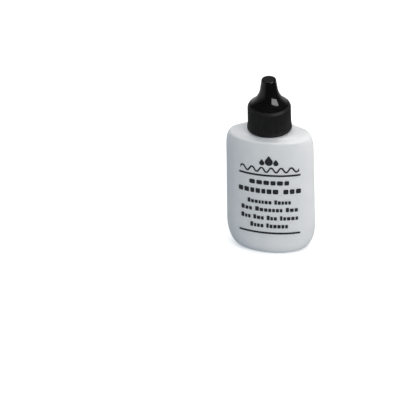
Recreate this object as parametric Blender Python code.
"""A pocket squeeze bottle of lens cleaner, closed and standing on its base.

A flattened, soft-walled bottle holds the fluid. A dropper plug is pressed into its
threaded neck, and a ribbed screw cap with a tall nose carries a small seal that shuts
the dropper's orifice. Metres, +Z up, base on Z = 0, printed front facing -Y. The neck,
plug and cap share the Z axis.
"""

import math
from collections import namedtuple

import bmesh
import bpy
from mathutils import Vector

# A rounded corner of the body: how far it draws in, and over what height.
Corner = namedtuple("Corner", "reach rise")

MM = 0.001
CLEARANCE = 0.3 * MM  # between pieces that touch on the real object

# Flattened body. Half sizes are taken from the bottle's axis.
BASE_HALF_WIDTH = 21.05 * MM  # where the straight sides would meet the base
SHOULDER_HALF_WIDTH = 20.6 * MM
HALF_DEPTH = 9.85 * MM
OVAL_POWER = 1.95  # 2 is a plain ellipse, higher is squarer
WALL = 1.1 * MM
HEEL_IN_WIDTH = Corner(6.7 * MM, 14.0 * MM)
HEEL_IN_DEPTH = Corner(2.8 * MM, 5.2 * MM)
SHOULDER_IN_WIDTH = Corner(2.6 * MM, 8.0 * MM)
SHOULDER_IN_DEPTH = Corner(2.9 * MM, 1.4 * MM)
SHOULDER_TOP = 61.7 * MM  # where the shoulder's arc would turn level
SHOULDER_SWEEP = math.radians(75)  # the arc's part that is kept
PUSH_UP = 0.8 * MM  # the base panel's recess above the standing ring
STANDING_RING = 2.2 * MM

# Neck
NECK_ROOT_RADIUS = 8.2 * MM
NECK_ROOT_HEIGHT = 63.1 * MM
NECK_RADIUS = 7.85 * MM
NECK_BORE = 6.4 * MM
NECK_TOP = 73.8 * MM
NECK_CHAMFER = 0.4 * MM

# Screw thread, eight turns to the inch, right-handed
THREAD_LEAD = 3.175 * MM
THREAD_ROOT_HALF = 0.65 * MM
THREAD_CREST_HALF = 0.35 * MM
THREAD_BITE = 0.25 * MM  # how far the ridge runs into the wall it grows from
THREAD_FADE = math.radians(45)
THREAD_BEARING = math.radians(23)  # where both threads start, round from +X
NECK_THREAD_RADIUS = 8.8 * MM
NECK_THREAD_START = 67.7 * MM
NECK_THREAD_TURNS = 1.5
CAP_THREAD_RADIUS = 8.2 * MM
CAP_THREAD_TURNS = 1.4

# Screw cap. Heights are above its rim.
CAP_RIM = 64.0 * MM
CAP_HEIGHT = 25.5 * MM
CAP_BORE = 9.1 * MM
SKIRT_RADIUS = 10.05 * MM
SKIRT_FOOT_RADIUS = 10.25 * MM  # the skirt widens a little towards its bead
SKIRT_FOOT_HEIGHT = 4.5 * MM
BEAD_RADIUS = 10.4 * MM
BEAD_HEIGHT = 1.1 * MM
RIBS = 60
RIB_DEPTH = 0.22 * MM
NOSE_RADIUS = 3.4 * MM
NOSE_EDGE = 0.5 * MM
NOSE_TAPER = math.radians(8.6)
FLARE_START = 20.5 * MM
FLARE_RADIUS = 12.0 * MM
FLARE_SWEEP = math.radians(55)
SEAT = 11.5 * MM  # inner face that presses the dropper's flange down
SEAT_RADIUS = 8.0 * MM
NOSE_WALL = 1.1 * MM
NOSE_CEILING = 24.2 * MM

# Dropper plug
FLANGE_RADIUS = 7.6 * MM
FLANGE_THICK = 1.0 * MM
PLUG_DEPTH = 6.0 * MM
PLUG_WALL = 1.0 * MM
NOZZLE_BASE = 4.2 * MM
NOZZLE_TIP = 1.7 * MM
NOZZLE_HEIGHT = 11.4 * MM
NOZZLE_WALL = 0.9 * MM
ORIFICE = 0.45 * MM
ORIFICE_LENGTH = 1.6 * MM

# Seal in the cap's nose
SEAL_RADIUS = 2.2 * MM
SEAL_THICK = 1.1 * MM
SEAL_CROWN = 0.15 * MM

FILL_LEVEL = 53.0 * MM

BODY_SIDES = 40
TURNED_SIDES = 32
THREAD_STEPS_PER_TURN = 26


def clear_scene():
    for obj in list(bpy.data.objects):
        bpy.data.objects.remove(obj, do_unlink=True)


def plastic(name, colour, roughness, alpha=1.0):
    material = bpy.data.materials.new(name)
    material.use_nodes = True
    shader = material.node_tree.nodes["Principled BSDF"]
    shader.inputs["Base Color"].default_value = (*colour, 1.0)
    shader.inputs["Roughness"].default_value = roughness
    shader.inputs["Metallic"].default_value = 0.0
    shader.inputs["Alpha"].default_value = alpha
    return material


def signed_power(value, exponent):
    return math.copysign(abs(value) ** exponent, value)


def oval_ring(half_width, half_depth, height, power=OVAL_POWER, sides=BODY_SIDES):
    """Points of a superellipse, anticlockwise from +X."""
    points = []
    for step in range(sides):
        angle = 2 * math.pi * step / sides
        x = half_width * signed_power(math.cos(angle), 2 / power)
        y = half_depth * signed_power(math.sin(angle), 2 / power)
        points.append(Vector((x, y, height)))
    return points


def round_ring(radius, height, sides):
    return oval_ring(radius, radius, height, power=2, sides=sides)


def ribbed_ring(radius, height):
    """A ring whose odd points sink between the ribs."""
    points = round_ring(radius, height, 2 * RIBS)
    for point in points[1::2]:
        point.xy *= 1 - RIB_DEPTH / radius
    return points


def make_object(name, mesh_builder, material, location=(0, 0, 0)):
    mesh = bpy.data.meshes.new(name)
    bmesh.ops.recalc_face_normals(mesh_builder, faces=mesh_builder.faces[:])
    mesh_builder.to_mesh(mesh)
    mesh_builder.free()
    mesh.shade_smooth()
    mesh.set_sharp_from_angle(angle=math.radians(35))
    mesh.materials.append(material)
    obj = bpy.data.objects.new(name, mesh)
    obj.location = location
    bpy.context.scene.collection.objects.link(obj)
    return obj


def skin_rings(rings, closed=False):
    """Joins rings of equal count with quads, and fills both ends unless closed."""
    builder = bmesh.new()
    loops = [[builder.verts.new(point) for point in ring] for ring in rings]
    followers = loops[1:] + loops[:1] if closed else loops[1:]
    for lower, upper in zip(loops, followers):
        for here in range(len(lower)):
            there = (here + 1) % len(lower)
            builder.faces.new((lower[here], lower[there], upper[there], upper[here]))
    if not closed:
        builder.faces.new(loops[0])
        builder.faces.new(loops[-1])
    return builder


def arc(start, end, steps):
    """Angles from start to end, both included."""
    return [start + (end - start) * step / steps for step in range(steps + 1)]


def half_width_at(height):
    fall = (BASE_HALF_WIDTH - SHOULDER_HALF_WIDTH) / (SHOULDER_TOP - SHOULDER_IN_WIDTH.rise)
    return BASE_HALF_WIDTH - fall * height


def drawn_in(reach, rise, climbed):
    """Inset of an elliptical corner, this far past the height where it starts."""
    if climbed <= 0:
        return 0
    return reach * (1 - math.sqrt(max(0, 1 - (climbed / rise) ** 2)))


def body_section(height, inset, floor):
    """Half width, half depth and height of the body, this far inside its skin."""
    halves = []
    for full, heel, shoulder in (
        (half_width_at(height), HEEL_IN_WIDTH, SHOULDER_IN_WIDTH),
        (HALF_DEPTH, HEEL_IN_DEPTH, SHOULDER_IN_DEPTH),
    ):
        shoulder_start = SHOULDER_TOP - shoulder.rise
        halves.append(
            full
            - inset
            - drawn_in(heel.reach - inset, heel.rise - floor, heel.rise - height)
            - drawn_in(shoulder.reach - inset, shoulder.rise - inset, height - shoulder_start)
        )
    return (*halves, height)


def body_sections(inset, floor):
    """Sections from the base's edge to the shoulder's end."""
    heel_rise = HEEL_IN_WIDTH.rise - floor
    shoulder_rise = SHOULDER_IN_WIDTH.rise - inset
    shoulder_start = SHOULDER_TOP - SHOULDER_IN_WIDTH.rise
    heights = [floor + heel_rise * (1 - math.cos(a)) for a in arc(0, math.pi / 2, 8)]
    heights += [shoulder_start + shoulder_rise * math.sin(a) for a in arc(0, SHOULDER_SWEEP, 8)]
    return [body_section(height, inset, floor) for height in heights]


def bridge_to_neck(last_section, neck_radius, neck_height):
    """The ring halfway between the oval shoulder and the round neck."""
    half_width, half_depth, height = last_section
    rise = 0.6
    return oval_ring(
        (half_width + neck_radius) / 2,
        (half_depth + neck_radius) / 2,
        height + rise * (neck_height - height),
        power=(OVAL_POWER + 2) / 2,
    )


def helical_ridge(name, material, wall_radius, crest_radius, start_height, turns):
    """A trapezoid swept up a right-handed helix, fading into its wall at both ends."""
    side = math.copysign(1, crest_radius - wall_radius)
    root = wall_radius - side * THREAD_BITE
    steps = round(turns * THREAD_STEPS_PER_TURN)
    sweep = 2 * math.pi * turns
    builder = bmesh.new()
    sections = []
    for step in range(steps + 1):
        angle = sweep * step / steps
        fade = min(1, angle / THREAD_FADE, (sweep - angle) / THREAD_FADE)
        low_crest = root + side * THREAD_BITE / 2
        crest = low_crest + (crest_radius - low_crest) * fade
        height = start_height + THREAD_LEAD * angle / (2 * math.pi)
        profile = (
            (root, -THREAD_ROOT_HALF),
            (crest, -THREAD_CREST_HALF),
            (crest, THREAD_CREST_HALF),
            (root, THREAD_ROOT_HALF),
        )
        bearing = angle + THREAD_BEARING
        across, along = math.cos(bearing), math.sin(bearing)
        sections.append(
            [builder.verts.new((r * across, r * along, height + z)) for r, z in profile]
        )
    for here, there in zip(sections, sections[1:]):
        for corner in range(len(here)):
            other = (corner + 1) % len(here)
            builder.faces.new((here[corner], here[other], there[other], there[corner]))
    builder.faces.new(sections[0])
    builder.faces.new(sections[-1])
    ridge = make_object(name, builder, material)
    ridge.hide_render = True
    ridge.display_type = "WIRE"
    return ridge


def join_ridge(obj, ridge):
    """Fuses a thread ridge to the piece that carries it."""
    union = obj.modifiers.new("thread", "BOOLEAN")
    union.operation = "UNION"
    union.solver = "EXACT"
    union.object = ridge
    ridge.parent = obj
    ridge.matrix_parent_inverse = obj.matrix_world.inverted()


def make_bottle():
    milky = plastic("milky_polyethylene", (0.86, 0.87, 0.87), 0.38)
    outer = body_sections(0, 0)
    inner = body_sections(WALL, PUSH_UP + WALL)
    foot_width, foot_depth, _ = outer[0]
    ring = STANDING_RING
    panel = ring + PUSH_UP
    rings = [
        oval_ring(foot_width - panel, foot_depth - panel, PUSH_UP),
        oval_ring(foot_width - ring, foot_depth - ring, 0),
    ]
    rings += [oval_ring(*section) for section in outer]
    rings.append(bridge_to_neck(outer[-1], NECK_ROOT_RADIUS, NECK_ROOT_HEIGHT))
    neck = (
        (NECK_ROOT_RADIUS, NECK_ROOT_HEIGHT),
        (NECK_RADIUS, NECK_ROOT_HEIGHT + 0.6 * MM),
        (NECK_RADIUS, NECK_TOP - NECK_CHAMFER),
        (NECK_RADIUS - NECK_CHAMFER, NECK_TOP),
        (NECK_BORE, NECK_TOP),
        (NECK_BORE, NECK_ROOT_HEIGHT),
        (NECK_ROOT_RADIUS - WALL, NECK_ROOT_HEIGHT - WALL),
    )
    rings += [round_ring(radius, height, BODY_SIDES) for radius, height in neck]
    rings.append(bridge_to_neck(inner[-1], *neck[-1]))
    rings += [oval_ring(*section) for section in reversed(inner)]
    bottle = make_object("bottle", skin_rings(rings), milky)
    ridge = helical_ridge(
        "neck_thread_ridge",
        milky,
        NECK_RADIUS,
        NECK_THREAD_RADIUS,
        NECK_THREAD_START,
        NECK_THREAD_TURNS,
    )
    join_ridge(bottle, ridge)
    return bottle


def make_fluid():
    inset = WALL + CLEARANCE
    floor = PUSH_UP + inset
    sections = [section for section in body_sections(inset, floor) if section[2] < FILL_LEVEL]
    sections.append(body_section(FILL_LEVEL, inset, floor))
    rings = [oval_ring(*section) for section in sections]
    fluid = plastic("clear_fluid", (0.82, 0.90, 0.95), 0.05, alpha=0.35)
    return make_object("cleaner_fluid", skin_rings(rings), fluid)


def make_dropper():
    """Turned plug: wall in the neck's bore, flange on its lip, hollow nozzle above."""
    plug_radius = NECK_BORE - CLEARANCE
    flange_low = NECK_TOP + CLEARANCE
    flange_top = flange_low + FLANGE_THICK
    tip = flange_top + NOZZLE_HEIGHT
    waist = flange_top + NOZZLE_HEIGHT * 0.3
    waist_radius = NOZZLE_BASE - (NOZZLE_BASE - NOZZLE_TIP) * 0.45
    lead_in = 0.4 * MM
    profile = (
        (plug_radius - lead_in, flange_low - PLUG_DEPTH),
        (plug_radius, flange_low - PLUG_DEPTH + 2 * lead_in),
        (plug_radius, flange_low),
        (FLANGE_RADIUS, flange_low),
        (FLANGE_RADIUS, flange_top - lead_in),
        (FLANGE_RADIUS - lead_in, flange_top),
        (NOZZLE_BASE + lead_in, flange_top),
        (NOZZLE_BASE, flange_top + lead_in),
        (waist_radius, waist),
        (NOZZLE_TIP, tip - lead_in / 2),
        (NOZZLE_TIP - lead_in / 2, tip),
        (ORIFICE, tip),
        (ORIFICE, tip - ORIFICE_LENGTH),
        (NOZZLE_TIP - NOZZLE_WALL + 0.25 * MM, tip - ORIFICE_LENGTH - 0.3 * MM),
        (waist_radius - NOZZLE_WALL, waist),
        (NOZZLE_BASE - NOZZLE_WALL, flange_top),
        (plug_radius - PLUG_WALL, flange_low - lead_in),
        (plug_radius - PLUG_WALL, flange_low - PLUG_DEPTH),
    )
    rings = [round_ring(radius, height, TURNED_SIDES) for radius, height in profile]
    natural = plastic("natural_polyethylene", (0.90, 0.90, 0.88), 0.35)
    return make_object("dropper_plug", skin_rings(rings, closed=True), natural)


def dome_profile():
    """Radius and height above the rim, from the flat nose to the end of the flare."""
    profile = []
    edge_radius = NOSE_RADIUS - NOSE_EDGE
    for angle in arc(0, math.pi / 2, 2):
        profile.append(
            (
                edge_radius + NOSE_EDGE * math.sin(angle),
                CAP_HEIGHT - NOSE_EDGE * (1 - math.cos(angle)),
            )
        )
    taper = math.tan(NOSE_TAPER)
    start = NOSE_RADIUS + (CAP_HEIGHT - NOSE_EDGE - FLARE_START) * taper
    for angle in arc(NOSE_TAPER, FLARE_SWEEP, 5):
        profile.append(
            (
                start + FLARE_RADIUS * (math.cos(NOSE_TAPER) - math.cos(angle)),
                FLARE_START - FLARE_RADIUS * (math.sin(angle) - math.sin(NOSE_TAPER)),
            )
        )
    return profile


def skirt_shoulder(flare_end, flare_low):
    """The arc that rounds the end of the flare into the upright skirt."""
    radius = (SKIRT_RADIUS - flare_end) / (1 - math.cos(FLARE_SWEEP))
    return [
        (
            flare_end + radius * (math.cos(angle) - math.cos(FLARE_SWEEP)),
            flare_low - radius * (math.sin(FLARE_SWEEP) - math.sin(angle)),
        )
        for angle in arc(FLARE_SWEEP, 0, 3)[1:]
    ]


def nose_cavity():
    """The hollow round the dropper's nozzle, a wall's thickness inside the dome."""
    cavity = [
        (radius - NOSE_WALL, height)
        for radius, height in dome_profile()
        if SEAT + 3 * MM < height < NOSE_CEILING - 1 * MM
    ]
    top_radius = NOSE_RADIUS - NOSE_WALL + 0.25 * MM
    mouth = (cavity[-1][0] + 0.5 * MM, SEAT)
    return [mouth, *reversed(cavity), (top_radius, NOSE_CEILING)]


def make_cap(parent):
    """The cap's origin is on its axis at the rim."""
    black = plastic("black_polypropylene", (0.012, 0.012, 0.013), 0.3)
    sides = 2 * RIBS
    dome = dome_profile()
    skin = [round_ring(radius, height, sides) for radius, height in dome]
    skin += [ribbed_ring(radius, height) for radius, height in skirt_shoulder(*dome[-1])]
    rim_edge = 0.25 * MM
    skin += [
        ribbed_ring(SKIRT_RADIUS, SKIRT_FOOT_HEIGHT),
        ribbed_ring(SKIRT_FOOT_RADIUS, BEAD_HEIGHT + rim_edge),
        round_ring(BEAD_RADIUS, BEAD_HEIGHT, sides),
        round_ring(BEAD_RADIUS, rim_edge, sides),
        round_ring(BEAD_RADIUS - rim_edge, 0, sides),
        round_ring(CAP_BORE + rim_edge, 0, sides),
        round_ring(CAP_BORE, rim_edge, sides),
        round_ring(CAP_BORE, SEAT - 1.1 * MM, sides),
        round_ring(SEAT_RADIUS, SEAT, sides),
    ]
    skin += [round_ring(radius, height, sides) for radius, height in nose_cavity()]
    cap = make_object("screw_cap", skin_rings(skin), black, (0, 0, CAP_RIM))
    cap.parent = parent
    cap.matrix_parent_inverse = parent.matrix_world.inverted()
    # The cap's ridge runs midway between two turns of the neck's.
    turns_below = 1
    start = NECK_THREAD_START + THREAD_LEAD * (0.5 - turns_below) - CAP_RIM
    ridge = helical_ridge(
        "cap_thread_ridge",
        black,
        CAP_BORE,
        CAP_THREAD_RADIUS,
        start,
        CAP_THREAD_TURNS,
    )
    ridge.location = cap.location
    bpy.context.view_layer.update()
    join_ridge(cap, ridge)
    return cap


def make_seal(parent):
    """A crowned disc, its origin on the cap's axis at its underside."""
    edge = 0.2 * MM
    profile = (
        (ORIFICE, 0),
        (SEAL_RADIUS - edge, SEAL_CROWN),
        (SEAL_RADIUS, SEAL_CROWN + edge),
        (SEAL_RADIUS, SEAL_THICK - edge),
        (SEAL_RADIUS - edge, SEAL_THICK),
    )
    rings = [round_ring(radius, height, TURNED_SIDES) for radius, height in profile]
    grey = plastic("soft_seal", (0.55, 0.56, 0.57), 0.6)
    base = CAP_RIM + NOSE_CEILING - CLEARANCE - SEAL_THICK
    seal = make_object("tip_seal", skin_rings(rings), grey, (0, 0, base))
    seal.parent = parent
    seal.matrix_parent_inverse = parent.matrix_world.inverted()
    return seal


def make_axis():
    """The line that the cap turns about and rises along."""
    axis = bpy.data.objects.new("cap_axis", None)
    axis.empty_display_type = "SINGLE_ARROW"
    axis.empty_display_size = CAP_HEIGHT
    axis.location = (0, 0, CAP_RIM)
    bpy.context.scene.collection.objects.link(axis)
    bpy.context.view_layer.update()
    return axis


def main():
    clear_scene()
    make_bottle()
    make_fluid()
    make_dropper()
    axis = make_axis()
    make_cap(axis)
    make_seal(axis)


main()
